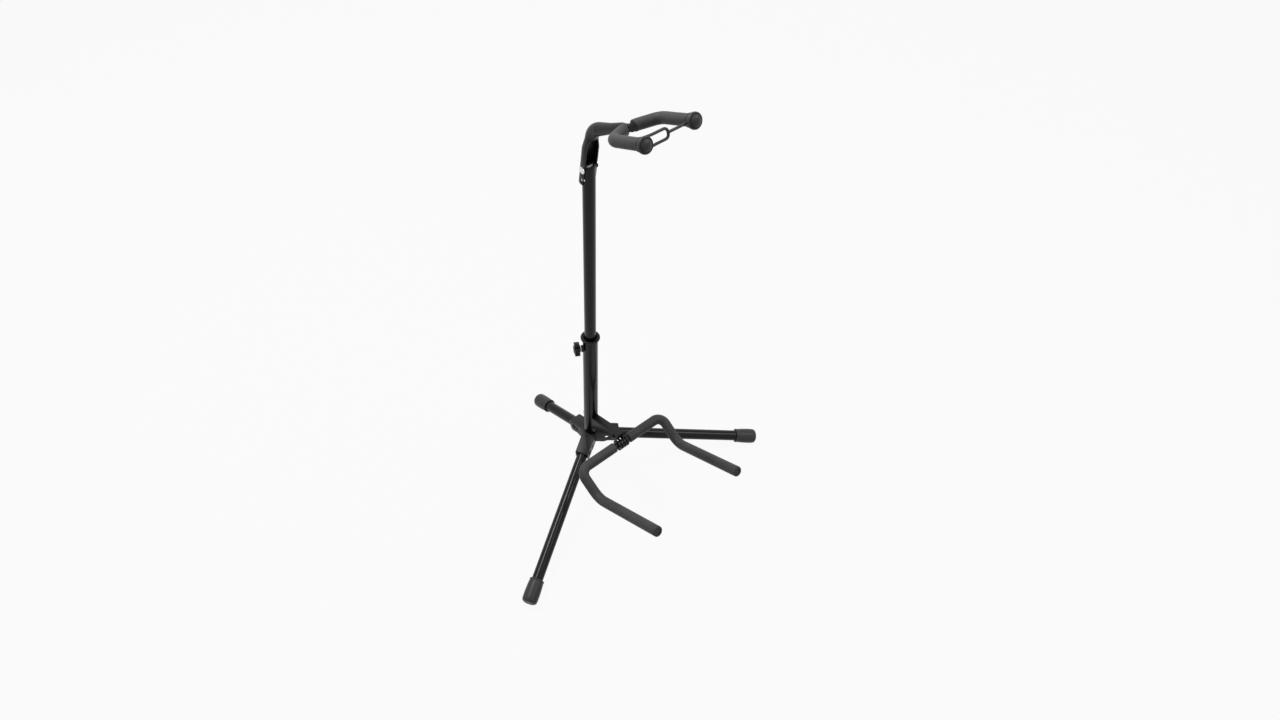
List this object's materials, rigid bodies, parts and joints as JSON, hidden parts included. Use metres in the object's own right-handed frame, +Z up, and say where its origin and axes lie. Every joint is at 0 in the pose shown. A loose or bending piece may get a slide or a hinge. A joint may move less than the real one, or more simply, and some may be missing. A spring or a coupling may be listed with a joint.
{
  "type": "guitar stand",
  "caption": "Folding tubular guitar stand with a tripod base, telescoping column, padded lower cradle and padded neck yoke closed by a rubber strap",
  "frame": {"origin": "on the floor, under the middle of the stand's bounding box", "axes": "+Z up along the column, -Y to the front, where the guitar stands, +X to the right seen from behind the front"},
  "size_m": [0.5434, 0.4465, 0.8315],
  "materials": {
    "black_steel": "gloss black powder coat",
    "bright_steel": "bright nickel plate",
    "black_plastic": "gloss black moulded plastic",
    "rubber": "black moulded rubber",
    "foam": "dark grey closed-cell foam, matt"
  },
  "bodies": {
    "stand": {"column_tube": "black_steel", "column_collar": "black_steel", "column_plug": "black_plastic", "clamp_boss": "black_steel", "pole_bush": "black_plastic", "leg_bracket_left": "black_steel", "leg_bracket_right": "black_steel", "leg_bracket_rear": "black_steel", "leg_rivets": "black_steel", "cradle_bracket": "black_steel", "bracket_bolt": "bright_steel", "bracket_nut": "bright_steel", "clip_pin": "black_steel", "cradle_clip": "black_plastic"},
    "guide": {"pole_guide": "black_plastic"},
    "pole": {"pole_tube": "black_steel", "yoke_rivet": "bright_steel"},
    "button": {"lock_button": "bright_steel", "lock_spring": "bright_steel"},
    "knob": {"clamp_screw": "bright_steel", "clamp_knob": "black_plastic"},
    "leg_left": {"leg_tube_left": "black_steel", "foot_cap_left": "rubber"},
    "leg_right": {"leg_tube_right": "black_steel", "foot_cap_right": "rubber"},
    "leg_rear": {"leg_tube_rear": "black_steel", "foot_cap_rear": "rubber"},
    "cradle": {"cradle_rod": "black_steel", "cradle_foam_left": "foam", "cradle_foam_right": "foam", "cradle_plugs": "rubber"},
    "yoke": {"yoke_arm": "black_steel", "yoke_rod": "black_steel", "yoke_foam_left": "foam", "yoke_foam_right": "foam", "yoke_cap_left": "rubber", "yoke_cap_right": "rubber", "neck_strap": "rubber"}
  },
  "joints": [
    {"name": "pole_slide", "type": "slide", "parent": "stand", "child": "guide", "axis": [0, 0, 1], "range_m": [-0.134, 0.02]},
    {"name": "pole_turn", "type": "hinge", "parent": "guide", "child": "pole", "pos_m": [0, 0.054, 0.27], "axis": [0, 0, 1], "range_deg": [-180, 180]},
    {"name": "knob_turn", "type": "hinge", "parent": "stand", "child": "knob", "pos_m": [-0.01732, 0.064, 0.311], "axis": [-0.866, 0.5, 0], "range_deg": [0, 360]},
    {"name": "button_press", "type": "slide", "parent": "pole", "child": "button", "axis": [1, 0, 0], "range_m": [0, 0.003], "stiffness_N_per_m": 400},
    {"name": "yoke_fold", "type": "hinge", "parent": "pole", "child": "yoke", "pos_m": [0, 0.054, 0.681], "axis": [1, 0, 0], "range_deg": [0, 112]},
    {"name": "cradle_fold", "type": "hinge", "parent": "stand", "child": "cradle", "pos_m": [0, -0.0305, 0.1365], "axis": [-1, 0, 0], "range_deg": [0, 62]},
    {"name": "leg_left_fold", "type": "hinge", "parent": "stand", "child": "leg_left", "pos_m": [-0.03397, 0.03277, 0.07125], "axis": [0.5299, -0.848, 0], "range_deg": [0, 77]},
    {"name": "leg_right_fold", "type": "hinge", "parent": "stand", "child": "leg_right", "pos_m": [0.03397, 0.03277, 0.07125], "axis": [0.5299, 0.848, 0], "range_deg": [0, 77]},
    {"name": "leg_rear_fold", "type": "hinge", "parent": "stand", "child": "leg_rear", "pos_m": [0, 0.09178, 0.06407], "axis": [-1, 0, 0], "range_deg": [0, 66]}
  ]
}
